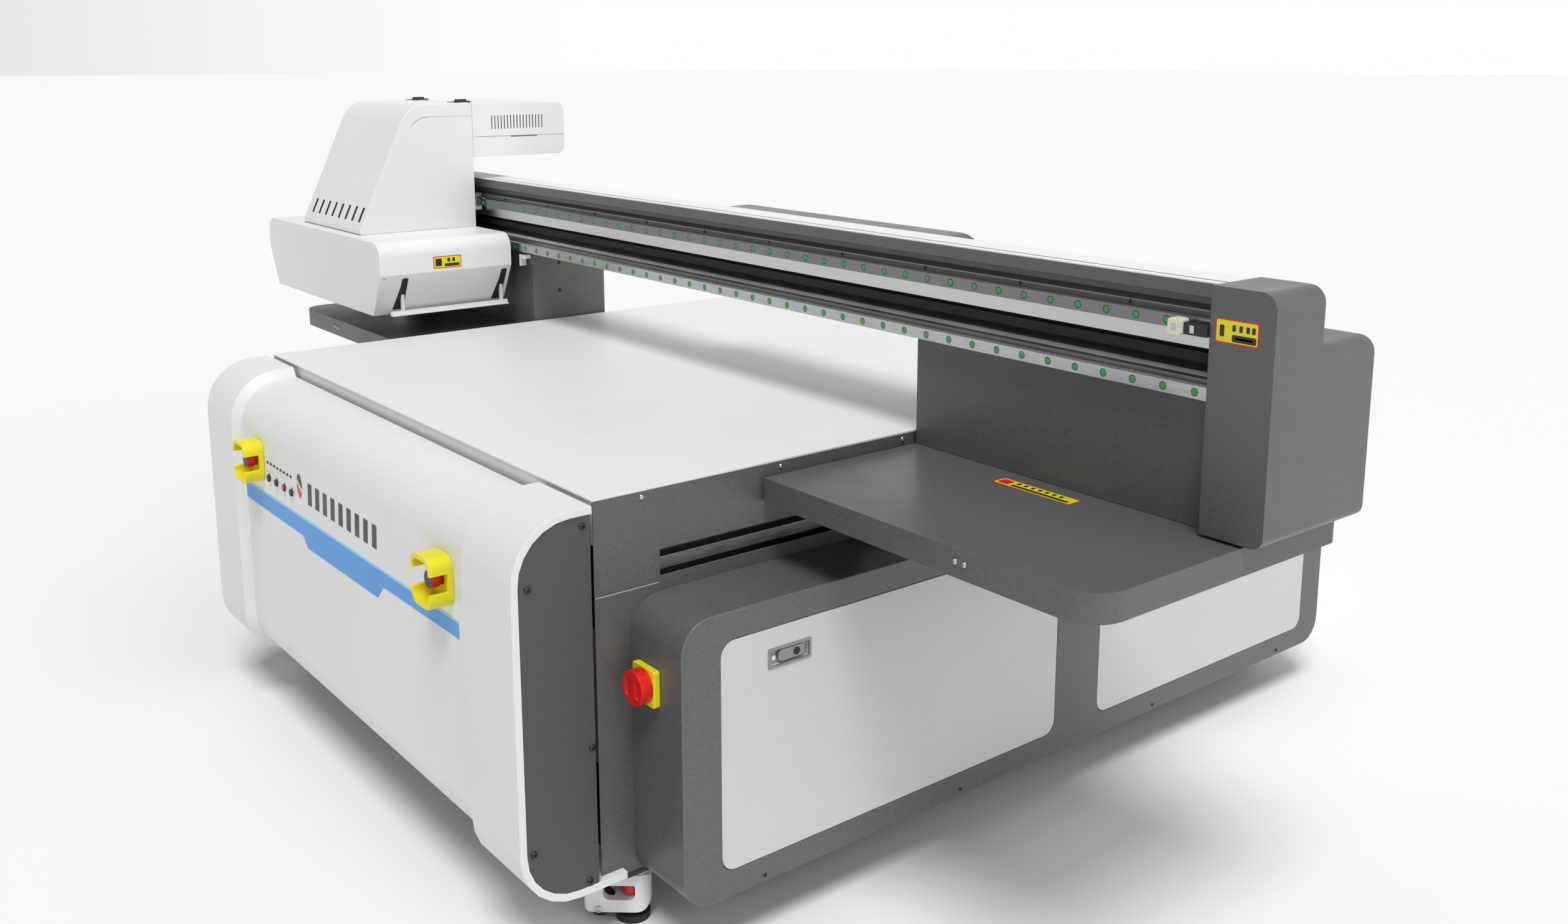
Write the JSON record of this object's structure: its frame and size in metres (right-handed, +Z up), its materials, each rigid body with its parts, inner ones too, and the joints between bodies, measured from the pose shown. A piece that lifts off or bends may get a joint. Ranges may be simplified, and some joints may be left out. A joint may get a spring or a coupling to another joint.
{
  "type": "flatbed uv printer",
  "caption": "Flatbed UV printer: a fixed vacuum table on a cased frame, a gantry beam that travels along it and a hooded print carriage that slides along the beam.",
  "frame": {"origin": "on the floor, under the middle of the outline with the carriage parked at the left and the gantry 300 mm behind its foremost place", "axes": "+X to the right along the gantry beam, +Y from the operator's side to the back, +Z up"},
  "size_m": [3.174, 2.384, 1.4054],
  "materials": {
    "table_white": "satin white coating",
    "frame_paint": "matt dark grey powder coat",
    "white_paint": "fine textured white powder coat",
    "grey_paint": "fine textured dark grey powder coat",
    "door_paint": "fine textured light grey powder coat",
    "machine_grey": "satin grey paint",
    "rail_steel": "ground steel",
    "latch_metal": "satin chrome plate",
    "bare_aluminium": "natural anodised",
    "yellow_plastic": "moulded",
    "red_plastic": "moulded",
    "black_plastic": "moulded",
    "black_rubber": "plain"
  },
  "bodies": {
    "base": {"base_frame": "frame_paint", "vacuum_table": "table_white", "vacuum_blower": "machine_grey", "front_shell": "white_paint", "rear_shell": "white_paint", "end_panel_right": "grey_paint", "end_panel_left": "grey_paint", "side_skirt_right": "grey_paint", "side_skirt_left": "grey_paint", "y_rail_right": "rail_steel", "y_rail_left": "rail_steel", "cabinet_right": "grey_paint", "cabinet_left": "grey_paint", "electrics_box": "machine_grey", "isolator_plate": "yellow_plastic", "estop_shroud_right": "yellow_plastic", "estop_shroud_left": "yellow_plastic"},
    "gantry": {"gantry_beam": "bare_aluminium", "x_rail_upper": "rail_steel", "x_rail_lower": "rail_steel", "x_belt": "black_rubber", "beam_rear_box": "grey_paint", "wing_right": "grey_paint", "wing_left": "grey_paint", "upright_right": "grey_paint", "upright_left": "grey_paint", "hanger_right": "bare_aluminium", "hanger_left": "bare_aluminium", "end_cover_right": "grey_paint", "end_cover_left": "grey_paint"},
    "carriage": {"carriage_plate": "bare_aluminium", "lower_housing": "white_paint", "carriage_hood": "white_paint", "carriage_rear_box": "white_paint"},
    "print_heads": {"head_unit": "bare_aluminium"},
    "crash_bar_right": {"crash_bar_right": "white_paint"},
    "hood_latch_right": {"hood_latch_right": "black_plastic"},
    "y_screw_right": {"y_screw_right": "rail_steel"},
    "estop_button_right": {"estop_button_right": "red_plastic"},
    "crash_bar_left": {"crash_bar_left": "white_paint"},
    "hood_latch_left": {"hood_latch_left": "black_plastic"},
    "y_screw_left": {"y_screw_left": "rail_steel"},
    "estop_button_left": {"estop_button_left": "red_plastic"},
    "door_front": {"door_front": "door_paint"},
    "latch_paddle_front": {"latch_paddle_front": "latch_metal"},
    "door_rear": {"door_rear": "door_paint"},
    "latch_paddle_rear": {"latch_paddle_rear": "latch_metal"},
    "push_button_1": {"push_button_1": "black_plastic"},
    "push_button_2": {"push_button_2": "black_plastic"},
    "push_button_3": {"push_button_3": "black_plastic"},
    "push_button_4": {"push_button_4": "black_plastic"},
    "isolator_knob": {"isolator_knob": "red_plastic"},
    "caster_front_right": {"caster_body_front_right": "white_paint"},
    "wheel_front_right": {"caster_wheel_front_right": "black_rubber"},
    "caster_front_left": {"caster_body_front_left": "white_paint"},
    "wheel_front_left": {"caster_wheel_front_left": "black_rubber"},
    "caster_rear_right": {"caster_body_rear_right": "white_paint"},
    "wheel_rear_right": {"caster_wheel_rear_right": "black_rubber"},
    "caster_rear_left": {"caster_body_rear_left": "white_paint"},
    "wheel_rear_left": {"caster_wheel_rear_left": "black_rubber"}
  },
  "joints": [
    {"name": "gantry_slide", "type": "slide", "parent": "base", "child": "gantry", "axis": [0, 1, 0], "range_m": [-0.3, 1]},
    {"name": "carriage_slide", "type": "slide", "parent": "gantry", "child": "carriage", "axis": [1, 0, 0], "range_m": [0, 2.37]},
    {"name": "head_lift", "type": "slide", "parent": "carriage", "child": "print_heads", "axis": [0, 0, 1], "range_m": [-0.036, 0.04]},
    {"name": "crash_bar_right_swing", "type": "hinge", "parent": "carriage", "child": "crash_bar_right", "pos_m": [-0.796, -0.488, 0.94], "axis": [0, 1, 0], "range_deg": [0, 7]},
    {"name": "hood_latch_right_turn", "type": "hinge", "parent": "carriage", "child": "hood_latch_right", "pos_m": [-1.038, -0.3495, 1.4], "axis": [1, 0, 0], "range_deg": [0, 60]},
    {"name": "y_screw_right_spin", "type": "hinge", "parent": "base", "child": "y_screw_right", "pos_m": [0.7685, 0.012, 0.63], "axis": [0, 1, 0], "range_deg": [-5500, 18100]},
    {"name": "estop_button_right_press", "type": "slide", "parent": "base", "child": "estop_button_right", "axis": [0, 1, 0], "range_m": [0, 0.004]},
    {"name": "crash_bar_left_swing", "type": "hinge", "parent": "carriage", "child": "crash_bar_left", "pos_m": [-1.56, -0.488, 0.94], "axis": [0, -1, 0], "range_deg": [0, 7]},
    {"name": "hood_latch_left_turn", "type": "hinge", "parent": "carriage", "child": "hood_latch_left", "pos_m": [-1.318, -0.3495, 1.4], "axis": [1, 0, 0], "range_deg": [0, 60]},
    {"name": "y_screw_left_spin", "type": "hinge", "parent": "base", "child": "y_screw_left", "pos_m": [-0.6945, 0.012, 0.63], "axis": [0, 1, 0], "range_deg": [-5500, 18100]},
    {"name": "estop_button_left_press", "type": "slide", "parent": "base", "child": "estop_button_left", "axis": [0, 1, 0], "range_m": [0, 0.004]},
    {"name": "door_front_swing", "type": "hinge", "parent": "base", "child": "door_front", "pos_m": [0.942, -0.014, 0.3625], "axis": [0, 0, 1], "range_deg": [0, 110]},
    {"name": "latch_paddle_front_turn", "type": "hinge", "parent": "door_front", "child": "latch_paddle_front", "pos_m": [0.936, -0.685, 0.516], "axis": [0, 0, 1], "range_deg": [0, 40]},
    {"name": "door_rear_swing", "type": "hinge", "parent": "base", "child": "door_rear", "pos_m": [0.942, 0.884, 0.3625], "axis": [0, 0, 1], "range_deg": [0, 110]},
    {"name": "latch_paddle_rear_turn", "type": "hinge", "parent": "door_rear", "child": "latch_paddle_rear", "pos_m": [0.936, 0.296, 0.516], "axis": [0, 0, 1], "range_deg": [0, 40]},
    {"name": "push_button_1_press", "type": "slide", "parent": "base", "child": "push_button_1", "axis": [0, 1, 0], "range_m": [0, 0.0025], "stiffness_N_per_m": 300},
    {"name": "push_button_2_press", "type": "slide", "parent": "base", "child": "push_button_2", "axis": [0, 1, 0], "range_m": [0, 0.0025], "stiffness_N_per_m": 300},
    {"name": "push_button_3_press", "type": "slide", "parent": "base", "child": "push_button_3", "axis": [0, 1, 0], "range_m": [0, 0.0025], "stiffness_N_per_m": 300},
    {"name": "push_button_4_press", "type": "slide", "parent": "base", "child": "push_button_4", "axis": [0, 1, 0], "range_m": [0, 0.0025], "stiffness_N_per_m": 300},
    {"name": "isolator_turn", "type": "hinge", "parent": "base", "child": "isolator_knob", "pos_m": [0.844, -0.962, 0.49], "axis": [0, 1, 0], "range_deg": [0, 90]},
    {"name": "caster_front_right_swivel", "type": "hinge", "parent": "base", "child": "caster_front_right", "pos_m": [0.742, -0.916, 0.1], "axis": [0, 0, 1], "continuous": true},
    {"name": "wheel_front_right_spin", "type": "hinge", "parent": "caster_front_right", "child": "wheel_front_right", "pos_m": [0.70472, -0.96043, 0.028], "axis": [-0.766, 0.6428, 0], "continuous": true},
    {"name": "caster_front_left_swivel", "type": "hinge", "parent": "base", "child": "caster_front_left", "pos_m": [-0.668, -0.916, 0.1], "axis": [0, 0, 1], "continuous": true},
    {"name": "wheel_front_left_spin", "type": "hinge", "parent": "caster_front_left", "child": "wheel_front_left", "pos_m": [-0.70528, -0.96043, 0.028], "axis": [-0.766, 0.6428, 0], "continuous": true},
    {"name": "caster_rear_right_swivel", "type": "hinge", "parent": "base", "child": "caster_rear_right", "pos_m": [0.742, 0.94, 0.1], "axis": [0, 0, 1], "continuous": true},
    {"name": "wheel_rear_right_spin", "type": "hinge", "parent": "caster_rear_right", "child": "wheel_rear_right", "pos_m": [0.70472, 0.89557, 0.028], "axis": [-0.766, 0.6428, 0], "continuous": true},
    {"name": "caster_rear_left_swivel", "type": "hinge", "parent": "base", "child": "caster_rear_left", "pos_m": [-0.668, 0.94, 0.1], "axis": [0, 0, 1], "continuous": true},
    {"name": "wheel_rear_left_spin", "type": "hinge", "parent": "caster_rear_left", "child": "wheel_rear_left", "pos_m": [-0.70528, 0.89557, 0.028], "axis": [-0.766, 0.6428, 0], "continuous": true}
  ],
  "couplings": [
    {"joint": "y_screw_right_spin", "follows": "gantry_slide", "rad_per_m": 314.16},
    {"joint": "y_screw_left_spin", "follows": "gantry_slide", "rad_per_m": 314.16}
  ]
}
